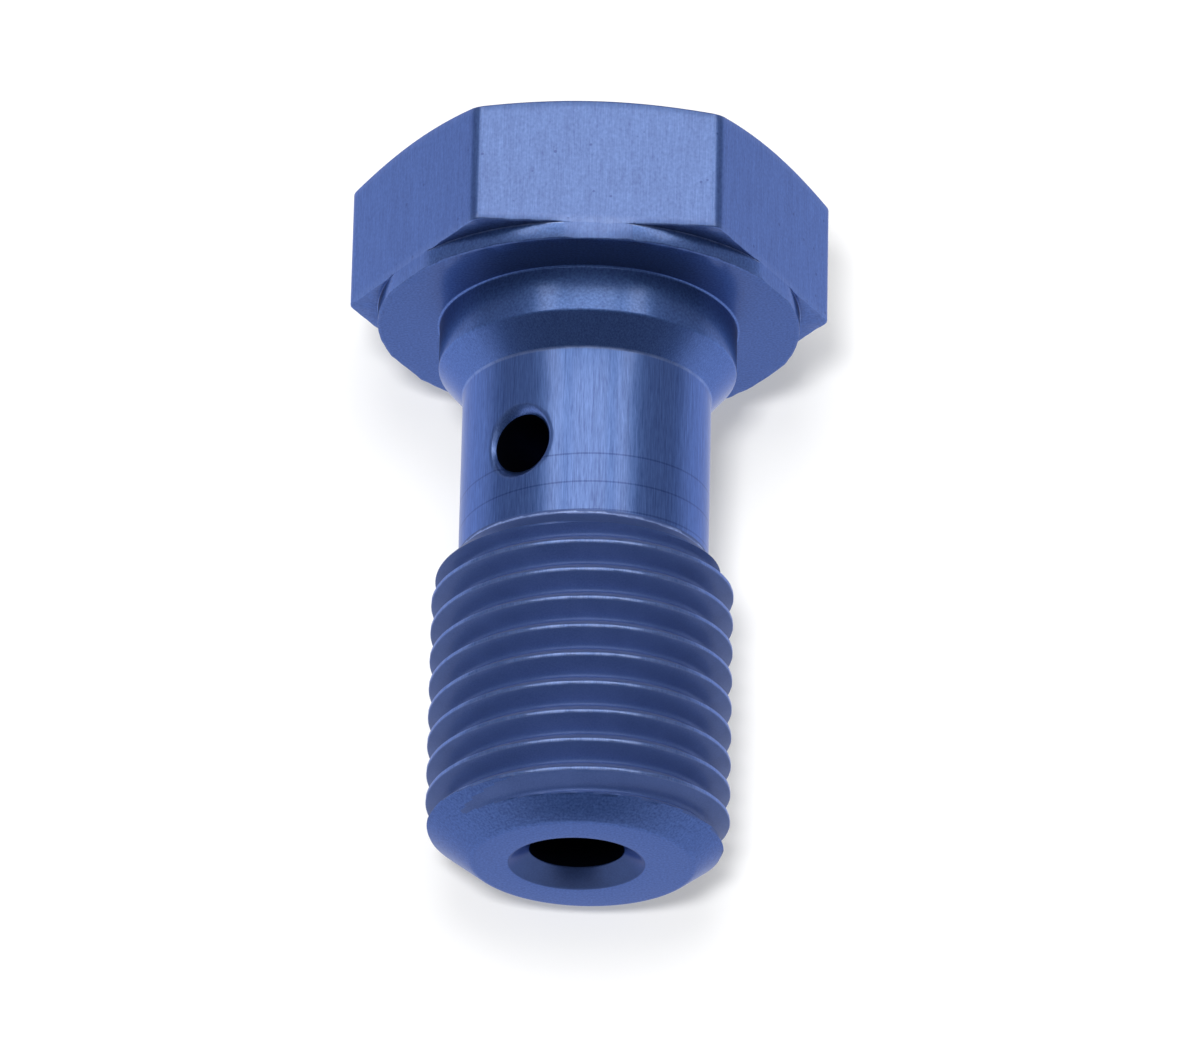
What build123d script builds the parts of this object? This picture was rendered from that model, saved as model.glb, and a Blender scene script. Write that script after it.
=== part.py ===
from build123d import *
import os
from math import atan2, cos, degrees, radians, sin, tan

# Hollow banjo bolt of blue anodised aluminium, turned from hexagon bar.
# It is one piece: hexagon head, washer face, collar, waisted neck, threaded
# shank, an axial oil way from the tip and a cross hole that meets it.
# All sizes are in millimetres. Distances along the shank are measured from
# the seat, which is the underside of the washer face.

# Head
across_flats = 13.9
hex_height = 4.55
hex_corner_radius = 0.25
top_circle_diameter = 13.2
top_chamfer_angle = 18.0
washer_face_diameter = 14.05
washer_face_thickness = 0.6

# Collar that centres the sealing washer
collar_diameter = 9.9
collar_length = 1.6
collar_edge_radius = 0.15

# Waisted neck, which leaves room for the oil inside the banjo fitting
taper_length = 0.97
neck_diameter = 8.25
neck_end = 8.53

# Threaded shank, at the major diameter of an M10 fine thread
thread_diameter = 9.95
shoulder_angle = 45.0
shank_length = 19.2
tip_flat_diameter = 6.9
tip_chamfer_angle = 38.0

# Axial oil way, drilled from the tip and closed by the head
bore_diameter = 3.1
bore_mouth_diameter = 4.4
bore_mouth_depth = 0.5
bore_past_cross_hole = 0.4
drill_point_angle = 118.0

# Cross hole, straight through both walls of the neck
cross_hole_diameter = 2.0
cross_hole_position = 5.7
cross_hole_clock = 34.0
cross_hole_break = 0.3

# Working out
flat_radius = across_flats / 2
top_circle_radius = top_circle_diameter / 2
washer_face_radius = washer_face_diameter / 2
collar_radius = collar_diameter / 2
neck_radius = neck_diameter / 2
thread_radius = thread_diameter / 2
tip_flat_radius = tip_flat_diameter / 2
bore_radius = bore_diameter / 2
bore_mouth_radius = bore_mouth_diameter / 2
cross_hole_radius = cross_hole_diameter / 2
hex_corner_reach = flat_radius / cos(radians(30))
head_height = washer_face_thickness + hex_height
thread_start = neck_end + (thread_radius - neck_radius) / tan(radians(shoulder_angle))
thread_end = shank_length - (thread_radius - tip_flat_radius) * tan(radians(tip_chamfer_angle))
bore_end = cross_hole_position - cross_hole_radius - bore_past_cross_hole


def half_section(outline):
    """Turn a closed outline of (radius, height) points about the bolt's axis."""
    return revolve(Plane.XZ * make_face(Polyline(*outline, close=True)), Axis.Z)


def hexagon_head():
    """Hexagon bar, chamfered on top and turned down to the washer face below."""
    hexagon = RegularPolygon(flat_radius, 6, major_radius=False)
    hexagon = fillet(hexagon.vertices(), hex_corner_radius)
    bar = extrude(hexagon, head_height)
    chamfer_drop = (hex_corner_reach - top_circle_radius) * tan(radians(top_chamfer_angle))
    turned = half_section([
        (0, 0),
        (washer_face_radius, 0),
        (washer_face_radius, washer_face_thickness),
        (hex_corner_reach, washer_face_thickness),
        (hex_corner_reach, head_height - chamfer_drop),
        (top_circle_radius, head_height),
        (0, head_height),
    ])
    return bar & turned


def shank():
    """Collar, taper, neck and threaded shank, turned in one with the head."""
    outline = Polyline(
        (0, 0),
        (collar_radius, 0),
        (collar_radius, -collar_length),
        (neck_radius, -collar_length - taper_length),
        (neck_radius, -neck_end),
        (thread_radius, -thread_start),
        (thread_radius, -thread_end),
        (tip_flat_radius, -shank_length),
        (0, -shank_length),
        close=True,
    )
    profile = make_face(outline)
    collar_edge = profile.vertices().sort_by_distance((collar_radius, -collar_length))[0]
    profile = fillet(collar_edge, collar_edge_radius)
    return revolve(Plane.XZ * profile, Axis.Z)


def oil_way():
    """Axial drilling with its countersunk mouth at the tip and its drill point."""
    point_length = bore_radius / tan(radians(drill_point_angle / 2))
    return half_section([
        (0, -shank_length),
        (bore_mouth_radius, -shank_length),
        (bore_radius, -shank_length + bore_mouth_depth),
        (bore_radius, -bore_end),
        (0, -bore_end + point_length),
    ])


def cross_hole():
    """Hole across the neck, with its sharp rim broken at both walls."""
    drilling = Cylinder(cross_hole_radius, neck_diameter)
    rim = half_section([
        (0, neck_radius - cross_hole_break),
        (cross_hole_radius, neck_radius - cross_hole_break),
        (cross_hole_radius + 2 * cross_hole_break, neck_radius + cross_hole_break),
        (0, neck_radius + cross_hole_break),
    ])
    tool = drilling + rim + rim.rotate(Axis.X, 180)
    tool = tool.rotate(Axis.X, 90).rotate(Axis.Z, -cross_hole_clock)
    return tool.moved(Location((0, 0, -cross_hole_position)))


def lay_down(bolt):
    """Lay the bolt on its side, on a flat of the head and the end of the thread."""
    dip = degrees(atan2(flat_radius - thread_radius, thread_end))
    lying = bolt.rotate(Axis.X, dip - 90)
    box = lying.bounding_box()
    return lying.moved(Location((-box.center().X, -box.center().Y, -box.min.Z)))


banjo_bolt = lay_down(hexagon_head() + shank() - oil_way() - cross_hole())

os.makedirs("parts", exist_ok=True)
export_step(banjo_bolt, "parts/banjo_bolt.step")
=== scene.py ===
import bmesh
import bpy
import numpy as np
from math import acos, atan2, ceil, cos, pi, radians, sin, tan
from mathutils import Matrix, Vector


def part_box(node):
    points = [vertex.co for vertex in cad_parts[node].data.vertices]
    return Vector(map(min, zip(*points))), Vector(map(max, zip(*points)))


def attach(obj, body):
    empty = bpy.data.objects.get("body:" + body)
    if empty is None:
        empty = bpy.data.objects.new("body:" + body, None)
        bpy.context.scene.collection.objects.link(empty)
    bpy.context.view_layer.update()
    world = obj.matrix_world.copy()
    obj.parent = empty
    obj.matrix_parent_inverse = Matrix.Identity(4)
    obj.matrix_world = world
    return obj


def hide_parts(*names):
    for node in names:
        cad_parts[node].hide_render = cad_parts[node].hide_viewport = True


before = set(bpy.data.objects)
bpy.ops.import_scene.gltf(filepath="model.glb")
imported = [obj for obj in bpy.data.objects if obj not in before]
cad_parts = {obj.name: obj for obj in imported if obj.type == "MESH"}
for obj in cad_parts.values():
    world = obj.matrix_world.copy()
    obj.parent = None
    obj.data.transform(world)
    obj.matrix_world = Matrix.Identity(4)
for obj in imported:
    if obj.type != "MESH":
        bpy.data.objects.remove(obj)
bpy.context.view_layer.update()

# Hexagon head.
# The bolt is turned from drawn hexagon bar of aluminium, and is one piece from end to end.
# A shallow chamfer takes the top corners off, and a round washer face is turned below.

# Sizes are in millimetres, heights are above the seat, and the front flat is at angle 0.
mm = 0.001
flat_radius = 13.9 / 2
corner_round = 0.5
head_height = 5.15
top_circle_radius = 13.2 / 2
top_chamfer = radians(18)
washer_face_radius = 14.05 / 2
washer_face_thickness = 0.6
edge_break = 0.05
# Broken edges are painted paler, partly as wear and partly as a painted highlight.
edge_wear_and_highlight = 0.15
edge_burr = 0.03

points = []
faces = []
finish_of_face = []
wear_and_highlight_of_point = []


def ring(radius, angle, height, wear_and_highlight=0.0):
    """Add a closed row of points round the axis, and give back their numbers."""
    radius, angle, height, wear_and_highlight = np.broadcast_arrays(radius, angle, height, wear_and_highlight)
    first = len(points)
    points.extend(zip(radius * np.sin(angle), -radius * np.cos(angle), height))
    wear_and_highlight_of_point.extend(wear_and_highlight)
    return list(range(first, len(points)))


def face(corners, finish):
    """Add one face with its finish."""
    faces.append(tuple(corners))
    finish_of_face.append(finish)


def uneven(along, size):
    """A small smooth unevenness along an edge, such as a fine burr leaves."""
    return size * (np.sin(23 * along) + np.sin(41 * along + 2) + np.sin(67 * along + 4)) / 3


def band(upper, lower, finish):
    """Join two closed rows, in one finish or in one finish for each step."""
    finish_of_step = np.broadcast_to(finish, len(upper))
    for k in range(len(upper)):
        after = (k + 1) % len(upper)
        face((upper[k], lower[k], lower[after], upper[after]), str(finish_of_step[k]))


def close_with_point(height, row, finish, first):
    """Close a row with one point on the axis, which comes before or after it."""
    centre = ring([0.0], [0.0], [height])[0]
    for k in range(len(row)):
        pair = (row[k], row[(k + 1) % len(row)])
        face((centre, *pair) if first else (pair[1], pair[0], centre), finish)


# Each half of a flat has 20 steps: three span half of the washer face's chord, where the
# flat would trim it, and the last three go round the corner.
steps_per_flat = 40
chord_angle = acos(flat_radius / washer_face_radius)
flat_half_length = (flat_radius - corner_round) * tan(radians(30))
half_flat = [(flat_radius * tan(chord_angle * k / 3), flat_radius, 0.0) for k in range(3)]
chord_half_length = flat_radius * tan(chord_angle)
for along in np.linspace(chord_half_length, flat_half_length, 15):
    half_flat.append((along, flat_radius, 0.0))
for lean in np.radians([10, 20, 30]):
    half_flat.append((
        flat_half_length + corner_round * sin(lean),
        flat_radius - corner_round * (1 - cos(lean)),
        lean,
    ))


def hexagon_row(inset):
    """Angles and radii of a hexagon row that lies this far inside the bar's surface."""
    angles, radii = [], []
    for k in range(6 * steps_per_flat):
        flat = round(k / steps_per_flat)
        step = k - steps_per_flat * flat
        along, out, lean = half_flat[abs(step)]
        along, out = along - inset * sin(lean), out - inset * cos(lean)
        angles.append(flat * radians(60) + np.sign(step) * atan2(along, out))
        radii.append(np.hypot(along, out))
    return np.array(angles), np.array(radii)


flat_angles, bar_radii = hexagon_row(0)
chamfer_edge = head_height - (bar_radii - top_circle_radius) * tan(top_chamfer)
chamfer_turn = radians(90) - top_chamfer
flat_top = chamfer_edge - edge_break * tan(chamfer_turn / 2)
crease = 0.04

top_rows = [ring(r, flat_angles, head_height) for r in (1.5, 3.0, 4.5, 6.0, top_circle_radius - crease)]
close_with_point(head_height, top_rows[0], "parted", first=True)
for upper, lower in zip(top_rows, top_rows[1:]):
    band(upper, lower, "parted")

chamfer_rows = [top_rows[-1]]
chamfer_start = head_height - crease * tan(top_chamfer)
chamfer_rows.append(ring(top_circle_radius + crease, flat_angles, chamfer_start))
for turn in chamfer_turn * np.linspace(1, 0, 4):
    angles, radii = hexagon_row(edge_break * (1 - cos(turn)))
    chamfer_rows.append(ring(radii, angles, flat_top + edge_break * sin(turn), edge_wear_and_highlight))
for upper, lower in zip(chamfer_rows, chamfer_rows[1:]):
    band(upper, lower, "faced")

# The flats as the bar was drawn. Their lower edge is broken where they overhang the washer face.
flat_foot = washer_face_thickness + edge_break
drawn_rows = [chamfer_rows[-1]]
for part in (0.06, 0.3, 0.6, 0.94):
    drawn_rows.append(ring(bar_radii, flat_angles, flat_top + (flat_foot - flat_top) * part))
room_for_break = np.clip((bar_radii - washer_face_radius) / 2, 0, edge_break)
for turn in np.radians([0, 30, 60, 90]):
    radii = bar_radii - room_for_break * (1 - cos(turn))
    heights = washer_face_thickness + edge_break * (1 - sin(turn))
    heights = heights + uneven(flat_angles, 0.4 * room_for_break)
    drawn_rows.append(ring(radii, flat_angles, heights, edge_wear_and_highlight))
for upper, lower in zip(drawn_rows, drawn_rows[1:]):
    band(upper, lower, "drawn")

# The washer face's ledge and wall, with a painted highlight line along the top of the wall
# where the head overhangs it. Where it would be wider than the flats, the flats run on down to
# the seat. The seat's edge is broken just enough to leave a full circle, and is painted paler,
# partly as wear and partly as a painted highlight.
ledge_line = 0.03
wall_line = 0.06
seat_edge_break = washer_face_radius - flat_radius + edge_break
seat_edge_wear_and_highlight = 0.1
overhung = bar_radii > washer_face_radius
wall_radii = np.minimum(bar_radii, washer_face_radius)
ledge_end = np.minimum(bar_radii, washer_face_radius + ledge_line)
ledge_rows = [drawn_rows[-1], ring(ledge_end, flat_angles, washer_face_thickness)]
band(ledge_rows[0], ledge_rows[1], "faced")

wall_rows = [ledge_rows[-1]]
wall_rows.append(ring(wall_radii, flat_angles, washer_face_thickness, np.where(overhung, 1.0, 0.0)))
wall_rows.append(ring(wall_radii, flat_angles, washer_face_thickness - wall_line))
seat_edge_rows = []
for turn in np.radians([0, 22.5, 45, 67.5, 90]):
    eased = 1 - cos(turn)
    radii = np.minimum(bar_radii - edge_break * eased, washer_face_radius - seat_edge_break * eased)
    heights = edge_break * (1 - sin(turn)) + uneven(flat_angles, edge_burr) * cos(turn)
    seat_edge_rows.append(ring(radii, flat_angles, heights, seat_edge_wear_and_highlight * cos(turn)))
wall_rows.append(seat_edge_rows[0])
for upper, lower in zip(wall_rows, wall_rows[1:]):
    band(upper, lower, np.where(overhung, "fine_turned", "drawn"))
for upper, lower in zip(seat_edge_rows, seat_edge_rows[1:]):
    band(upper, lower, "faced")

# Collar, taper and neck.
# The collar centres the sealing washer, and the waisted neck leaves room for the oil.
# They are turned in one with the head, and the neck is brushed along the axis afterwards.
collar_radius = 9.9 / 2
collar_length = 1.6
collar_root_round = 0.08
collar_edge_round = 0.15
taper_length = 0.97
neck_radius = 8.25 / 2
neck_corner_round = 0.2
neck_corner_highlight = 0.45
neck_corner_line = 0.035
just_off_neck = 0.001

# The rows round the shank start 23 steps past the cross hole, so that no seam crosses it.
hole_clock = radians(-34)
hole_height = -5.7
patch_half_height = 1.5
turn_step = radians(1.5)
turn_count = round(radians(360) / turn_step)
seam_steps = 23
turn_angles = hole_clock + turn_step * (np.arange(turn_count) + seam_steps)


def rounded(corners):
    """Outline whose corners, each a radius, a height and a rounding, are rounded by arcs."""
    outline = []
    for k, (radius, height, size) in enumerate(corners):
        here = np.array([radius, height])
        if size == 0:
            outline.append(here)
            continue
        before = np.array(corners[k - 1][:2]) - here
        after = np.array(corners[k + 1][:2]) - here
        before /= np.linalg.norm(before)
        after /= np.linalg.norm(after)
        half = acos(before @ after) / 2
        centre = here + (before + after) / np.linalg.norm(before + after) * size / sin(half)
        start = here + before * size / tan(half) - centre
        end = here + after * size / tan(half) - centre
        sweep = pi - 2 * half
        steps = max(3, ceil(sweep / radians(15)))
        for part in np.linspace(0, 1, steps + 1):
            outline.append(centre + (sin((1 - part) * sweep) * start + sin(part * sweep) * end) / sin(sweep))
    return outline


seat_radii = (6.4, 5.7)
seat_rows = [seat_edge_rows[-1]] + [ring(r, turn_angles, 0) for r in seat_radii]
collar_outline = rounded([
    (seat_radii[-1], 0, 0),
    (collar_radius, 0, collar_root_round),
    (collar_radius, -collar_length, collar_edge_round),
    (neck_radius, -collar_length - taper_length, neck_corner_round),
    (neck_radius, hole_height + patch_half_height, 0),
])

# A painted highlight line runs where the taper ends and the neck begins.
collar_rows = []
for radius, height in collar_outline[1:]:
    in_neck_corner = neck_radius + just_off_neck < radius < neck_radius + neck_corner_line
    collar_rows.append(ring(radius, turn_angles, height, neck_corner_highlight if in_neck_corner else 0.0))
seat_rows.append(collar_rows[0])
for upper, lower in zip(seat_rows, seat_rows[1:]):
    band(upper, lower, "faced")
for (_, foot), upper, lower in zip(collar_outline[2:], collar_rows, collar_rows[1:]):
    on_collar = foot > -collar_length - collar_edge_round / 3
    band(upper, lower, "fine_turned" if on_collar else "turned")

# Cross hole.
# It is drilled through both walls of the neck into the oil way, and its rims are broken.
# Rings of points lead from the neck over the rim and down the hole to the oil way.
hole_radius = 2.0 / 2
hole_break = 0.3
# The hole's rims are painted paler, partly as wear and partly as a painted highlight.
hole_edge_wear_and_highlight = 0.1
bore_radius = 3.1 / 2

# The hole's surroundings are a patch of 36 by 15 steps, on the neck and in the oil way alike.
patch_columns = 18
patch_rows = 15
bore_patch_half_height = 1.3
bore_columns = 108
neck_middles = (turn_count - seam_steps, turn_count // 2 - seam_steps)
bore_middles = (patch_columns, patch_columns + bore_columns // 2)
neck_heights = hole_height + np.linspace(patch_half_height, -patch_half_height, patch_rows + 1)
bore_heights = hole_height + np.linspace(bore_patch_half_height, -bore_patch_half_height, patch_rows + 1)
bore_angles = hole_clock + radians(360) / bore_columns * (np.arange(bore_columns) - patch_columns)

neck_rows = [collar_rows[-1]] + [ring(neck_radius, turn_angles, z) for z in neck_heights[1:]]
bore_rows = [ring(bore_radius, bore_angles, z) for z in bore_heights]


def patched_band(upper, lower, finish, middles, inward):
    """Join two rows, and leave out the faces where the cross hole's patches go."""
    count = len(upper)
    for k in range(count):
        if any((k - middle + patch_columns) % count < 2 * patch_columns for middle in middles):
            continue
        after = (k + 1) % count
        corners = (upper[k], lower[k], lower[after], upper[after])
        face(corners[::-1] if inward else corners, finish)


def patch_edge(rows, middle):
    """The points round a patch, counter-clockwise as seen from outside the bolt."""
    count = len(rows[0])
    left, right = middle - patch_columns, middle + patch_columns
    edge = [rows[-1][k % count] for k in range(left, right)]
    edge += [rows[k][right % count] for k in range(patch_rows, 0, -1)]
    edge += [rows[0][k % count] for k in range(right, left, -1)]
    edge += [rows[k][left % count] for k in range(patch_rows)]
    return edge


for upper, lower in zip(neck_rows, neck_rows[1:]):
    patched_band(upper, lower, "turned", neck_middles, inward=False)
for upper, lower in zip(bore_rows, bore_rows[1:]):
    patched_band(upper, lower, "drilled", bore_middles, inward=True)

# Steps from the hole's middle to the points of a patch's edge, along the turn and up.
edge_steps = [(k, -patch_rows / 2) for k in range(-patch_columns, patch_columns)]
edge_steps += [(patch_columns, k - patch_rows / 2) for k in range(patch_rows)]
edge_steps += [(-k, patch_rows / 2) for k in range(-patch_columns, patch_columns)]
edge_steps += [(-patch_columns, patch_rows / 2 - k) for k in range(patch_rows)]
edge_across = np.array([neck_radius * turn_step * k for k, _ in edge_steps])
edge_up = np.array([2 * patch_half_height / patch_rows * k for _, k in edge_steps])
hole_turns = np.arctan2(edge_up, edge_across)
flat_share = np.cos(hole_turns) ** 2


def depth_on(radius, reach):
    """Distance from the bolt's axis at which the hole's rings meet a round wall."""
    return np.sqrt(radius**2 - reach**2 * flat_share)


def hole_ring(reach, depth, clock, wear_and_highlight=0.0):
    """Points round the hole's axis, at a reach from it and a distance from the bolt's axis."""
    reach = np.broadcast_to(reach, hole_turns.shape)
    depth = np.broadcast_to(depth, hole_turns.shape)
    out, side = np.array([sin(clock), -cos(clock)]), np.array([cos(clock), sin(clock)])
    first = len(points)
    for x, z, d in zip(reach * np.cos(hole_turns), reach * np.sin(hole_turns), depth):
        points.append((*(out * d + side * x), hole_height + z))
        wear_and_highlight_of_point.append(wear_and_highlight)
    return list(range(first, len(points)))


# The broken rim is a cone about the hole, and its reach on the round neck is found in steps.
rim_reach = np.full(len(edge_steps), hole_radius + hole_break)
for _ in range(20):
    rim_reach = hole_radius + hole_break + depth_on(neck_radius, rim_reach) - neck_radius
around_rim = 0.05
beside_rim = 0.04
inside_rim = 0.03
rim_foot = 0.02
wall_start = neck_radius - hole_break
wall_end = depth_on(bore_radius, hole_radius)
for half_turn, neck_middle, bore_middle in zip((0, pi), neck_middles, bore_middles):
    clock = hole_clock + half_turn
    loops = [patch_edge(neck_rows, neck_middle)]
    for part in (0.4, 0.7, 0.9):
        reach = np.hypot(edge_across, edge_up) * (1 - part) + (rim_reach + around_rim) * part
        loops.append(hole_ring(reach, depth_on(neck_radius, reach), clock))
    reach = rim_reach + beside_rim
    loops.append(hole_ring(reach, depth_on(neck_radius, reach), clock, hole_edge_wear_and_highlight))
    depth = depth_on(neck_radius, rim_reach) - inside_rim
    loops.append(hole_ring(rim_reach - inside_rim, depth, clock, hole_edge_wear_and_highlight))
    loops.append(hole_ring(hole_radius + rim_foot, wall_start + rim_foot, clock))
    rim_loops = len(loops)
    for part in (0.02, 0.3, 0.65, 0.97, 1.0):
        loops.append(hole_ring(hole_radius, wall_start + (wall_end - wall_start) * part, clock))
    loops.append(patch_edge(bore_rows, bore_middle))
    for place, (outer, inner) in enumerate(zip(loops, loops[1:]), start=1):
        finish = "turned" if place < rim_loops else "drilled"
        for k in range(len(edge_steps)):
            after = (k + 1) % len(edge_steps)
            face((outer[k], outer[after], inner[after], inner[k]), finish)

# Threaded shank.
# The thread is single-point cut, right-hand, with one millimetre from turn to turn.
# Its crests keep thin burrs, and it runs out over the shoulder and the tip's chamfer.
thread_radius = 9.95 / 2
pitch = 1.0
flank_angle = radians(60)
thread_depth = 0.645
root_round = 0.07
crest_half = 0.055
crest_round = 0.025
crest_burr = 0.009
# The crests are painted paler, partly as wear and partly as painted highlight lines.
crest_wear_and_highlight = 0.3
crest_at_front = -9.896
neck_end = -8.53
shank_end = -19.2
tip_flat_radius = 6.9 / 2
tip_chamfer = radians(38)
chamfer_slip = 0.45
slip_clock = radians(115)
# A painted highlight line runs round where the shoulder leaves the neck.
shoulder_highlight = 0.9
shoulder_line = 0.05
crest_skin = 0.04
thread_top = -8.40
thread_foot = -18.90

# Steps down half a turn of thread, from a crest to the root, closest where the form bends.
half_turn_offsets = [0, 0.03, 0.055, 0.08, 0.11, 0.16, 0.22, 0.28, 0.34, 0.39, 0.43, 0.465, 0.5]
turn_offsets = half_turn_offsets + [pitch - offset for offset in half_turn_offsets[-2:0:-1]]
rows_per_turn = len(turn_offsets)


def slipped(angle):
    """How much further out the tip's chamfer lies, as it was cut off-centre."""
    return chamfer_slip * ((1 + np.cos(angle - slip_clock)) / 2) ** 2


def ramp(rise, softness):
    """Nothing below zero and the rise above it, with a soft bend between them."""
    return (rise + np.hypot(rise, softness)) / 2


# The deepest of three cuts shows: the thread, the shoulder above it or the chamfer below it.
# The crests keep the skin of the turned bar.
def thread_surface(height, angle):
    """Radius, wear and painted highlight, and finish of the threaded shank at a height and an angle."""
    turns = (height - crest_at_front) / pitch - angle / (2 * pi)
    from_crest = abs(turns - round(turns)) * pitch
    along_crest = angle + 2 * pi * round(turns)
    flank_depth = ramp((from_crest - crest_half) * tan(flank_angle), crest_round)
    depth = thread_depth - ramp(thread_depth - flank_depth, root_round)
    depth += (crest_burr + uneven(along_crest, crest_burr)) * max(0, 1 - from_crest / (2 * crest_half))
    cut = thread_radius - depth
    shoulder = max(neck_radius, neck_radius + neck_end - height)
    chamfer = tip_flat_radius + (height - shank_end) / tan(tip_chamfer) + slipped(angle)
    if chamfer < min(cut, shoulder):
        return chamfer, 0.0, "faced"
    if shoulder < cut:
        on_its_edge = abs(height - neck_end) < shoulder_line
        return shoulder, shoulder_highlight if on_its_edge else 0.0, "cut"
    if cut > thread_radius - crest_skin:
        return cut, crest_wear_and_highlight, "turned"
    return cut, 0.0, "cut"


# The rows follow the helix. A row is one turn lower after each round, so the last column
# joins the first a turn further down. Two rows are moved to where the shoulder begins and ends.
turns_above = ceil(thread_top - crest_at_front) + 1
turns_below = ceil(crest_at_front - thread_foot) + 1
grid = np.empty((rows_per_turn * (turns_above + turns_below) + 1, len(turn_angles)), dtype=int)
finish_of_point = {}
for column, angle in enumerate(turn_angles):
    crest = crest_at_front + turns_above * pitch + pitch * angle / (2 * pi)
    heights = np.array([
        crest - (row // rows_per_turn) * pitch - turn_offsets[row % rows_per_turn]
        for row in range(len(grid))
    ])
    for bend in (neck_end, neck_end - (thread_radius - thread_depth - neck_radius)):
        heights[np.argmin(abs(heights - bend))] = bend
    heights = np.clip(heights, thread_foot, thread_top)
    for row, height in enumerate(heights):
        radius, wear_and_highlight, finish = thread_surface(height, angle)
        grid[row, column] = len(points)
        finish_of_point[len(points)] = finish
        points.append((radius * sin(angle), -radius * cos(angle), height))
        wear_and_highlight_of_point.append(wear_and_highlight)

neck_foot_rows = [neck_rows[-1]]
for height in (-7.6, -8.0, thread_top):
    neck_foot_rows.append(ring(neck_radius, turn_angles, height))
for upper, lower in zip(neck_foot_rows, neck_foot_rows[1:]):
    band(upper, lower, "turned")
for row in range(len(grid) - 1):
    for column in range(len(turn_angles)):
        corners = [grid[row, column], grid[row + 1, column]]
        if column + 1 < len(turn_angles):
            corners += [grid[row + 1, column + 1], grid[row, column + 1]]
        elif row >= rows_per_turn:
            corners += [grid[row + 1 - rows_per_turn, 0], grid[row - rows_per_turn, 0]]
        else:
            continue
        found = {finish_of_point[k] for k in corners}
        face(corners, found.pop() if len(found) == 1 else "cut")

# Tip and oil way.
# The end is faced and chamfered, and the oil way is drilled from it with a countersunk mouth.
# The drill stops just past the cross hole and leaves its cone there.
bore_end = -4.3
drill_point = radians(118 / 2)
mouth_radius = 4.4 / 2
mouth_depth = 0.5
tip_round = 0.3
mouth_round = 0.12
mouth_foot_round = 0.05

# The tip's chamfer goes on from the last row of the thread, and the end face is centred again.
foot_radius = tip_flat_radius + (thread_foot - shank_end) / tan(tip_chamfer)
end_face_radius = mouth_radius + 0.3
tip_outline = rounded([
    (foot_radius, thread_foot, 0),
    (tip_flat_radius, shank_end, tip_round),
    (end_face_radius, shank_end, 0),
])
tip_rows = [ring(r + slipped(turn_angles), turn_angles, z) for r, z in tip_outline[:-1]]
tip_rows.append(ring(end_face_radius, turn_angles, shank_end))
for upper, lower in zip(tip_rows, tip_rows[1:]):
    band(upper, lower, "faced")

mouth_outline = rounded([
    (end_face_radius, shank_end, 0),
    (mouth_radius, shank_end, mouth_round),
    (bore_radius, shank_end + mouth_depth, mouth_foot_round),
    (bore_radius, shank_end + 2 * mouth_depth, 0),
])
mouth_rows = [ring(r, bore_angles, z) for r, z in mouth_outline[1:]]


def bridge(outer, inner, outer_angles, inner_angles, finish):
    """Join two rows on the end face that have different numbers of points."""
    j = k = 0
    shift = int(np.argmin(abs((inner_angles - outer_angles[0] + pi) % (2 * pi) - pi)))
    inner = inner[shift:] + inner[:shift]
    while j < len(outer) or k < len(inner):
        outer_next = (j + 1) / len(outer)
        inner_next = (k + 1) / len(inner)
        here = (outer[j % len(outer)], inner[k % len(inner)])
        if outer_next <= inner_next:
            j += 1
            face((here[0], here[1], outer[j % len(outer)]), finish)
        else:
            k += 1
            face((here[0], here[1], inner[k % len(inner)]), finish)


bridge(tip_rows[-1], mouth_rows[0], turn_angles, bore_angles, "faced")

# The oil way runs up from its mouth to the rows beside the cross hole, and on to the cone.
bore_walk = mouth_rows + [ring(bore_radius, bore_angles, z) for z in (-16, -13, -10, -8)]
bore_walk.append(bore_rows[-1])
for upper, lower in zip(bore_walk, bore_walk[1:]):
    band(upper, lower, "countersunk_painted_shade" if upper in mouth_rows[:-2] else "drilled")

cone_rows = [bore_rows[0]]
for radius in (bore_radius, 0.8 * bore_radius, 0.4 * bore_radius):
    cone_rows.append(ring(radius, bore_angles, bore_end + (bore_radius - radius) / tan(drill_point)))
for upper, lower in zip(cone_rows, cone_rows[1:]):
    band(upper, lower, "drilled")
close_with_point(bore_end + bore_radius / tan(drill_point), cone_rows[-1], "drilled", first=False)

# Blue anodised finish.
# The whole bolt is anodised, dyed and sealed at once, so all its surfaces share one blue oxide.
# What differs is the mark that each tool left underneath: drawn, faced, turned or cut. The drilled holes and
# the countersunk mouth are painted darker as shade.
wear_and_highlight_blue = "#93A9E2"
edge_tint = "#93AEF0"
coat_roughness = 0.2
gloss_play = 0.06
grain_low, grain_high = 0.3, 0.7
patch_size = 1 / 3
patch_low, patch_high = 0.38, 0.62
least_wear_and_highlight = 0.45
bolt_axis = bpy.data.objects.new("bolt_axis", None)
bpy.context.scene.collection.objects.link(bolt_axis)


def linear(code):
    """Linear colour of an sRGB hex value."""
    parts = [int(code[k:k + 2], 16) / 255 for k in (1, 3, 5)]
    return (*[c / 12.92 if c <= 0.04045 else ((c + 0.055) / 1.055) ** 2.4 for c in parts], 1.0)


def add_node(tree, kind, inputs=None, **settings):
    """Add a node with its settings, and fill its inputs with values or with links."""
    node = tree.nodes.new(kind)
    for name, value in settings.items():
        setattr(node, name, value)
    for name, value in (inputs or {}).items():
        if isinstance(value, bpy.types.NodeSocket):
            tree.links.new(value, node.inputs[name])
        else:
            node.inputs[name].default_value = value
    return node


def in_millimetres(tree):
    """The place on the bolt, with its axis as Z and the seat at zero."""
    place = add_node(tree, "ShaderNodeTexCoord", object=bolt_axis)
    return add_node(tree, "ShaderNodeVectorMath", {
        0: place.outputs["Object"],
        "Scale": 1000.0,
    }, operation="SCALE").outputs[0]


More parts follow.
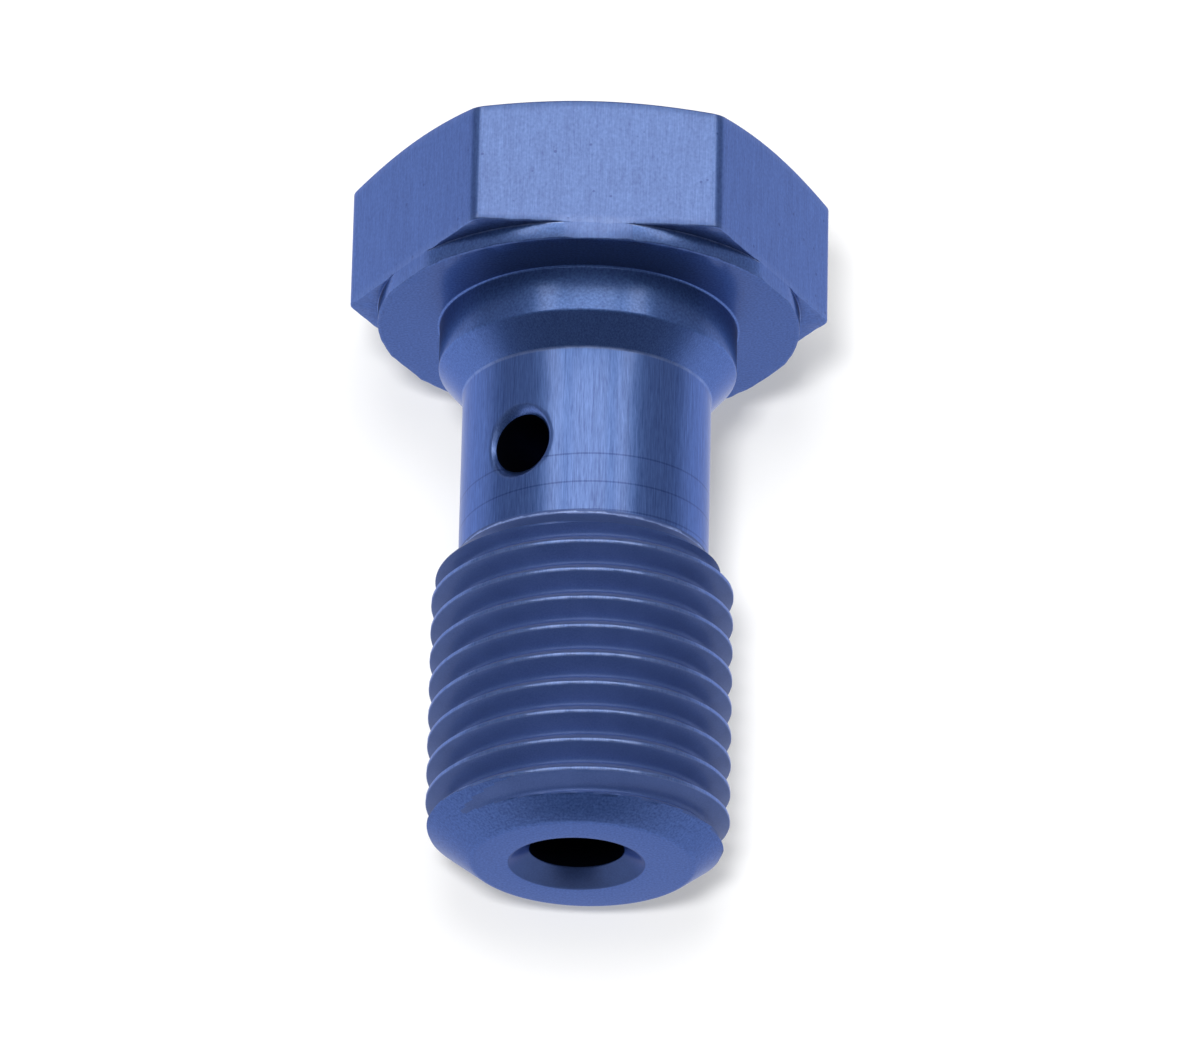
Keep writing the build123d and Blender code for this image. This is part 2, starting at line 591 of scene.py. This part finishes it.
def lines_along_axis(tree, width, length):
    """Noise drawn out along the bolt's axis, with lines of this width and length."""
    stretched = add_node(tree, "ShaderNodeMapping", {
        "Vector": in_millimetres(tree),
        "Scale": (1 / width, 1 / width, 1 / length),
    })
    return add_node(tree, "ShaderNodeTexNoise", {
        "Vector": stretched.outputs[0],
        "Scale": 1.0,
        "Detail": 3.0,
        "Roughness": 0.6,
    }).outputs["Fac"]


def shares(tree, parts):
    """Sum of grains, each times its share."""
    total = None
    for grain, share in parts:
        total = add_node(tree, "ShaderNodeMath", {
            0: grain,
            1: share,
            2: 0.0 if total is None else total,
        }, operation="MULTIPLY_ADD").outputs[0]
    return total


# The dye lies in the oxide over bright metal, so the metal's reflections are blue and the
# sealed surface adds a paler gloss. Edges and crests are painted a paler blue in broken
# patches, partly as wear and partly as painted highlight lines. In other surfaces'
# reflections each finish shows a painted reflection colour. It is greyer than its dye so that the
# blue does not deepen, and darker or paler to set how bright it looks there, which paints
# shade where the collar mirrors the seat.
def anodised(name, grain_of, dyes, painted_reflection_colour, metal, coat, roughness, relief):
    """Dyed aluminium, with the tool's grain in its tone, its gloss and its relief in mm."""
    material = bpy.data.materials.new("anodised_aluminium_" + name)
    material.use_nodes = True
    tree = material.node_tree
    shader = tree.nodes["Principled BSDF"]
    grain = grain_of(tree)
    worn_and_highlit = add_node(tree, "ShaderNodeAttribute", attribute_name="wear_and_highlight").outputs["Fac"]
    patches = add_node(tree, "ShaderNodeTexNoise", {
        "Vector": in_millimetres(tree),
        "Scale": 1 / patch_size,
        "Detail": 4.0,
        "Roughness": 0.7,
    }).outputs["Fac"]
    broken = add_node(tree, "ShaderNodeMapRange", {
        "Value": patches,
        "From Min": patch_low,
        "From Max": patch_high,
        "To Min": least_wear_and_highlight,
    }).outputs[0]
    worn_and_highlit = add_node(tree, "ShaderNodeMath", {0: worn_and_highlit, 1: broken}, operation="MULTIPLY").outputs[0]
    tone = add_node(tree, "ShaderNodeMapRange", {
        "Value": grain,
        "From Min": grain_low,
        "From Max": grain_high,
    }).outputs[0]
    dye = add_node(tree, "ShaderNodeMix", {
        0: tone,
        6: linear(dyes[0]),
        7: linear(dyes[1]),
    }, data_type="RGBA").outputs[2]
    dye = add_node(tree, "ShaderNodeMix", {
        0: worn_and_highlit,
        6: dye,
        7: linear(wear_and_highlight_blue),
    }, data_type="RGBA").outputs[2]
    # Painted reflection: in other surfaces' reflections this finish shows its painted reflection colour in
    # place of its dye.
    seen_in_reflection = add_node(tree, "ShaderNodeLightPath").outputs["Is Glossy Ray"]
    dye = add_node(tree, "ShaderNodeMix", {
        0: seen_in_reflection,
        6: dye,
        7: linear(painted_reflection_colour),
    }, data_type="RGBA").outputs[2]
    tree.links.new(dye, shader.inputs["Base Color"])
    matt = add_node(tree, "ShaderNodeMapRange", {
        "Value": grain,
        "To Min": roughness + gloss_play,
        "To Max": roughness - gloss_play,
    }).outputs[0]
    tree.links.new(matt, shader.inputs["Roughness"])
    bump = add_node(tree, "ShaderNodeBump", {"Height": grain, "Distance": relief * mm, "Strength": 1.0})
    tree.links.new(bump.outputs[0], shader.inputs["Normal"])
    shader.inputs["Metallic"].default_value = metal
    shader.inputs["Specular Tint"].default_value = linear(edge_tint)
    shader.inputs["Coat Weight"].default_value = coat
    shader.inputs["Coat Roughness"].default_value = coat_roughness
    return material


# Drawn bar: the die leaves hair lines along the flats, and handling leaves small dark pits.
# Real lines are a few hundredths of a millimetre wide, and they are drawn at that size.
def drawn_grain(tree):
    """Hair lines along the bar, with pits."""
    lines = lines_along_axis(tree, 0.05, 0.9)
    broad = lines_along_axis(tree, 0.25, 3.0)
    mottle = lines_along_axis(tree, 0.09, 0.12)
    pit_spacing = 0.7
    pit_floor, pit_edge = 0.03, 0.09
    pit_depth = 0.5
    pits = add_node(tree, "ShaderNodeTexVoronoi", {
        "Vector": in_millimetres(tree),
        "Scale": 1 / pit_spacing,
    })
    pit = add_node(tree, "ShaderNodeMapRange", {
        "Value": pits.outputs["Distance"],
        "From Min": pit_floor,
        "From Max": pit_edge,
        "To Min": -pit_depth,
        "To Max": 0.0,
    }).outputs[0]
    return shares(tree, [(lines, 0.4), (broad, 0.2), (mottle, 0.4), (pit, 1.0)])


# Turned and then brushed walls: lines along the axis at their real width, broken by finer
# scratches. The threading tool's first turns leave a faint spiral below the cross hole.
def turned_grain(tree):
    """Brush lines along the axis, and the spiral on the neck."""
    lines = lines_along_axis(tree, 0.05, 1.1)
    scratches = lines_along_axis(tree, 0.035, 0.4)
    broad = lines_along_axis(tree, 0.3, 4.0)
    spiral_phase = 0.9
    spiral_half_width = 0.03
    spiral_start = -6.1
    place = add_node(tree, "ShaderNodeSeparateXYZ", {0: in_millimetres(tree)})
    toward_front = add_node(tree, "ShaderNodeMath", {
        0: place.outputs["Y"],
        1: -1.0,
    }, operation="MULTIPLY").outputs[0]
    angle = add_node(tree, "ShaderNodeMath", {
        0: place.outputs["X"],
        1: toward_front,
    }, operation="ARCTAN2").outputs[0]
    along_helix = add_node(tree, "ShaderNodeMath", {
        0: angle,
        1: -pitch / (2 * pi),
        2: place.outputs["Z"],
    }, operation="MULTIPLY_ADD").outputs[0]
    along_helix = add_node(tree, "ShaderNodeMath", {
        0: along_helix,
        1: spiral_phase,
    }, operation="ADD").outputs[0]
    turn = add_node(tree, "ShaderNodeMath", {0: along_helix}, operation="FRACT").outputs[0]
    on_line = add_node(tree, "ShaderNodeMath", {
        0: turn,
        1: 0.5,
        2: spiral_half_width,
    }, operation="COMPARE").outputs[0]
    below_hole = add_node(tree, "ShaderNodeMath", {
        0: place.outputs["Z"],
        1: spiral_start,
    }, operation="LESS_THAN").outputs[0]
    spiral = add_node(tree, "ShaderNodeMath", {0: on_line, 1: below_hole}, operation="MULTIPLY").outputs[0]
    return shares(tree, [(lines, 0.5), (scratches, 0.42), (broad, 0.08), (spiral, -0.15)])


def rings_about_axis(tree, spacing):
    """Noise in rings about the bolt's axis, about this far apart."""
    flat_place = add_node(tree, "ShaderNodeVectorMath", {
        0: in_millimetres(tree),
        1: (1.0, 1.0, 0.0),
    }, operation="MULTIPLY").outputs[0]
    reach = add_node(tree, "ShaderNodeVectorMath", {0: flat_place}, operation="LENGTH").outputs["Value"]
    return add_node(tree, "ShaderNodeTexNoise", {
        "W": reach,
        "Scale": 1 / spacing,
        "Detail": 2.0,
    }, noise_dimensions="1D").outputs["Fac"]


# The etched grain under the dye is only microns wide. It is drawn coarser than real, at 0.08 mm.
def matt_grain(tree):
    """Fine even grain."""
    grain_width = 0.08
    return add_node(tree, "ShaderNodeTexNoise", {
        "Vector": in_millimetres(tree),
        "Scale": 1 / grain_width,
        "Detail": 3.0,
    }).outputs["Fac"]


# Faced surfaces: the tool's feed leaves rings about the axis, a twentieth of a millimetre apart.
def faced_grain(tree):
    """Matt grain with fine rings."""
    return shares(tree, [(rings_about_axis(tree, 0.05), 0.15), (matt_grain(tree), 0.85)])


# Top of the head: it was parted off the bar with a quicker feed, whose rings can be seen.
def parted_grain(tree):
    """Coarse rings over matt grain."""
    return shares(tree, [(rings_about_axis(tree, 0.16), 0.6), (matt_grain(tree), 0.4)])


# Cut thread: the single-point tool leaves a satin flank with short tears, drawn at 0.06 mm.
def cut_grain(tree):
    """Satin grain with short tears, and broad stains over it."""
    tear_width = 0.06
    stain_width = 1.2
    satin = add_node(tree, "ShaderNodeTexNoise", {
        "Vector": in_millimetres(tree),
        "Scale": 1 / tear_width,
        "Detail": 4.0,
        "Roughness": 0.65,
    }).outputs["Fac"]
    stains = add_node(tree, "ShaderNodeTexNoise", {
        "Vector": in_millimetres(tree),
        "Scale": 1 / stain_width,
        "Detail": 2.0,
    }).outputs["Fac"]
    return shares(tree, [(satin, 0.6), (stains, 0.4)])


finishes = {
    # Flats: hair lines in a soft gloss, which runs from lighter to darker with the light.
    "drawn": anodised(
        "drawn", drawn_grain, dyes=("#3B5599", "#5A7BC5"), painted_reflection_colour="#666E82",
        metal=0.9, coat=0.5, roughness=0.36, relief=0.0018,
    ),
    # Seat, chamfers and end face: satin, and darker where they face away from the light.
    "faced": anodised(
        "faced", faced_grain, dyes=("#354F8E", "#4B6AB1"), painted_reflection_colour="#343A48",
        metal=0.9, coat=0.4, roughness=0.43, relief=0.0006,
    ),
    # Taper, neck and crests: brushed, with the widest play from dark to light.
    "turned": anodised(
        "turned", turned_grain, dyes=("#304C90", "#5A7CC9"), painted_reflection_colour="#7A839A",
        metal=0.9, coat=0.5, roughness=0.33, relief=0.0014,
    ),
    # Top of the head: rings that catch the light one by one.
    "parted": anodised(
        "parted", parted_grain, dyes=("#354F8E", "#5070B8"), painted_reflection_colour="#4A5264",
        metal=0.9, coat=0.4, roughness=0.36, relief=0.0025,
    ),
    # Washer face and collar: finely turned fits, smoother and more even than the rest.
    "fine_turned": anodised(
        "fine_turned", faced_grain, dyes=("#3A579B", "#5275C0"), painted_reflection_colour="#666E82",
        metal=0.9, coat=0.5, roughness=0.33, relief=0.0008,
    ),
    # Thread: rougher, so it scatters the light and looks duller.
    "cut": anodised(
        "cut", cut_grain, dyes=("#394D82", "#475C94"), painted_reflection_colour="#A4AECA",
        metal=0.5, coat=0.2, roughness=0.50, relief=0.0015,
    ),
    # Mouth of the oil way: painted darker as shade, but still blue.
    "countersunk_painted_shade": anodised(
        "countersunk_painted_shade", cut_grain, dyes=("#283A68", "#34497C"), painted_reflection_colour="#666E82",
        metal=0.9, coat=0.3, roughness=0.36, relief=0.0010,
    ),
    # Both holes: painted near black as shade, since nothing lights their depth.
    "drilled": anodised(
        "drilled", cut_grain, dyes=("#090D1A", "#0C1222"), painted_reflection_colour="#0A0F1C",
        metal=0.9, coat=0.0, roughness=0.55, relief=0.0020,
    ),
}

# One mesh for the one piece, with a finish for each face and the wear and painted highlight of each point.
mesh = bpy.data.meshes.new("bolt_body")
mesh.from_pydata([Vector(point) * mm for point in points], [], faces)
for material in finishes.values():
    mesh.materials.append(material)
finish_order = list(finishes)
for polygon, finish in zip(mesh.polygons, finish_of_face):
    polygon.material_index = finish_order.index(finish)
mesh.attributes.new("wear_and_highlight", "FLOAT", "POINT").data.foreach_set("value", wear_and_highlight_of_point)

bolt = bpy.data.objects.new("bolt_body", mesh)
bpy.context.scene.collection.objects.link(bolt)

# Rows that meet are welded into one closed skin, and only true edges shade as sharp.
weld_distance = 0.0005 * mm
welded = bmesh.new()
welded.from_mesh(mesh)
bmesh.ops.remove_doubles(welded, verts=welded.verts, dist=weld_distance)
welded.to_mesh(mesh)
welded.free()
mesh.shade_smooth()
mesh.set_sharp_from_angle(angle=radians(35))
bolt.modifiers.new("even_normals", "WEIGHTED_NORMAL").keep_sharp = True

# The bolt lies on the edge of its back flat and on the end of its thread.
thread_end = -shank_end - (thread_radius - tip_flat_radius) * tan(tip_chamfer)
dip = atan2(flat_radius - thread_radius, thread_end)
head_reach = top_circle_radius * sin(dip) + head_height * cos(dip)
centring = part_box("banjo_bolt")[1][1] - head_reach * mm
lifted = Matrix.Translation((0, centring, flat_radius * cos(dip) * mm))
lying = lifted @ Matrix.Rotation(dip - radians(90), 4, "X")
mesh.transform(lying)
bolt_axis.matrix_world = lying
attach(bolt_axis, "root")
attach(bolt, "root")
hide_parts("banjo_bolt")

# Floor, lamps and camera.
# The photo shows the bolt alone on a white sheet that fades into a white ground, in the soft
# light of a studio. Places and sizes of the lamps are in metres, their power is in watts.
floor_mesh = bpy.data.meshes.new("floor")
floor_mesh.from_pydata([(-1, -1, 0), (1, -1, 0), (1, 1, 0), (-1, 1, 0)], [], [(0, 1, 2, 3)])
floor = bpy.data.objects.new("floor", floor_mesh)
bpy.context.scene.collection.objects.link(floor)

# Matt white paper: it takes the soft shadow, and its own glow keeps the ground near white.
# In the metal's reflections the paper is painted as glow alone, without its shadow, bright
# beside the bolt and dimmer away from it: a painted reflection.
glow_to_camera = 0.36
reflection_fade_near, reflection_fade_far = 0.02, 0.15
glow_near, glow_far = 1.0, 0.45
paper = bpy.data.materials.new("matt_white_paper")
paper.use_nodes = True
paper_tree = paper.node_tree
paper_shader = paper_tree.nodes["Principled BSDF"]
paper_shader.inputs["Base Color"].default_value = linear("#FAFAFA")
paper_shader.inputs["Roughness"].default_value = 0.9
paper_shader.inputs["Specular IOR Level"].default_value = 0.0
rays = add_node(paper_tree, "ShaderNodeLightPath")
glow_share = add_node(paper_tree, "ShaderNodeMath", {
    0: rays.outputs["Is Camera Ray"],
    1: glow_to_camera,
    2: rays.outputs["Is Glossy Ray"],
}, operation="MULTIPLY_ADD")
from_bolt = add_node(paper_tree, "ShaderNodeVectorMath", {
    0: add_node(paper_tree, "ShaderNodeTexCoord").outputs["Object"],
}, operation="LENGTH")
painted_reflection_strength = add_node(paper_tree, "ShaderNodeMapRange", {
    "Value": from_bolt.outputs["Value"],
    "From Min": reflection_fade_near,
    "From Max": reflection_fade_far,
    "To Min": glow_near,
    "To Max": glow_far,
})
glow_strength = add_node(paper_tree, "ShaderNodeMix", {
    0: rays.outputs["Is Camera Ray"],
    2: painted_reflection_strength.outputs[0],
    3: 1.0,
}, data_type="FLOAT")
glow = add_node(paper_tree, "ShaderNodeEmission", {
    "Color": linear("#FFFFFF"),
    "Strength": glow_strength.outputs[0],
})
paper_mix = add_node(paper_tree, "ShaderNodeMixShader", {
    0: glow_share.outputs[0],
    1: paper_shader.outputs[0],
    2: glow.outputs[0],
})
paper_tree.links.new(paper_mix.outputs[0], paper_tree.nodes["Material Output"].inputs["Surface"])
floor_mesh.materials.append(paper)


def soft_lamp(name, place, size, power):
    """Add a square soft lamp that looks at the bolt."""
    lamp = bpy.data.lights.new(name, "AREA")
    lamp.shape = "RECTANGLE"
    lamp.size, lamp.size_y = size
    lamp.energy = power
    holder = bpy.data.objects.new(name, lamp)
    holder.location = place
    toward_bolt = Vector((0, 0, 0)) - Vector(place)
    holder.rotation_euler = toward_bolt.to_track_quat("-Z", "Y").to_euler()
    bpy.context.scene.collection.objects.link(holder)
    return holder


# Warm panels that only show in the metal. Three narrow ones stand round the bolt's own axis
# and give the light bands along it, and a wide one above lifts all that faces up.
panel_colour = linear("#FFEFD0")[:3]
panel_distance = 0.45
panel_out, panel_toward_head = 0.904, 0.428
for count, turn in enumerate(np.radians([-28, 1, 31]), start=1):
    over = Vector((panel_out * sin(turn), -panel_out * cos(turn), panel_toward_head))
    place = lying.to_3x3() @ over * panel_distance
    overhead_lamp = soft_lamp(f"overhead_lamp_{count}", place, size=(0.25, 0.08), power=0.21)
    overhead_lamp.data.color = panel_colour
    overhead_lamp.visible_diffuse = False
wash_lamp = soft_lamp("wash_lamp", (0, 0.05, 0.5), size=(0.5, 0.5), power=0.4)
wash_lamp.data.color = panel_colour
wash_lamp.visible_diffuse = False

# Lamps that only light the paper and the satin, and so draw the shadow.
key_lamp = soft_lamp("key_lamp", (-0.07, -0.21, 0.55), size=(0.09, 0.09), power=2.5)
key_lamp.visible_glossy = False
sky_lamp = soft_lamp("sky_lamp", (-0.02, 0.06, 0.5), size=(0.2, 0.2), power=0.9)
sky_lamp.visible_glossy = False

# The room is darker on the tip's side and lighter on the head's.
dark_side, light_side = -0.85, 0.1
dark_grey, light_grey = 0.09, 0.34
world = bpy.data.worlds.new("studio")
world.use_nodes = True
world_tree = world.node_tree
toward_head = add_node(world_tree, "ShaderNodeSeparateXYZ", {
    0: add_node(world_tree, "ShaderNodeTexCoord").outputs["Generated"],
}).outputs["Y"]
grey = add_node(world_tree, "ShaderNodeMapRange", {
    "Value": toward_head,
    "From Min": dark_side,
    "From Max": light_side,
    "To Min": dark_grey,
    "To Max": light_grey,
}).outputs[0]
world_tree.links.new(grey, world_tree.nodes["Background"].inputs["Color"])
bpy.context.scene.world = world

# The camera was fitted to the photo's edges. Its place is given on the bolt, in millimetres.
sensor_width = 36
focal_pixels = 10052
image_pixels = 1200
view_distance = 334.63
below_seat = radians(25.337)
view_turn = radians(-1.349)
view_roll = radians(1.264)
aim_point = Vector((0.519, 0, -6.929))
stand = Vector((0, -view_distance * cos(below_seat), -view_distance * sin(below_seat)))
forward = (aim_point - stand).normalized()
right = forward.cross(Vector((0, 0, 1))).normalized()
up = right.cross(forward)
rolled_right = cos(view_roll) * right + sin(view_roll) * up
rolled_up = cos(view_roll) * up - sin(view_roll) * right
camera_place = Matrix((rolled_right, rolled_up, -forward)).transposed().to_4x4()
camera_place.translation = stand * mm
camera_data = bpy.data.cameras.new("camera")
camera_data.sensor_width = sensor_width
camera_data.lens = sensor_width * focal_pixels / image_pixels
camera_data.clip_start = 0.01
camera = bpy.data.objects.new("camera", camera_data)
camera.matrix_world = lying @ Matrix.Rotation(view_turn, 4, "Z") @ camera_place
bpy.context.scene.collection.objects.link(camera)
bpy.context.scene.camera = camera
bpy.context.scene.view_settings.view_transform = "Standard"
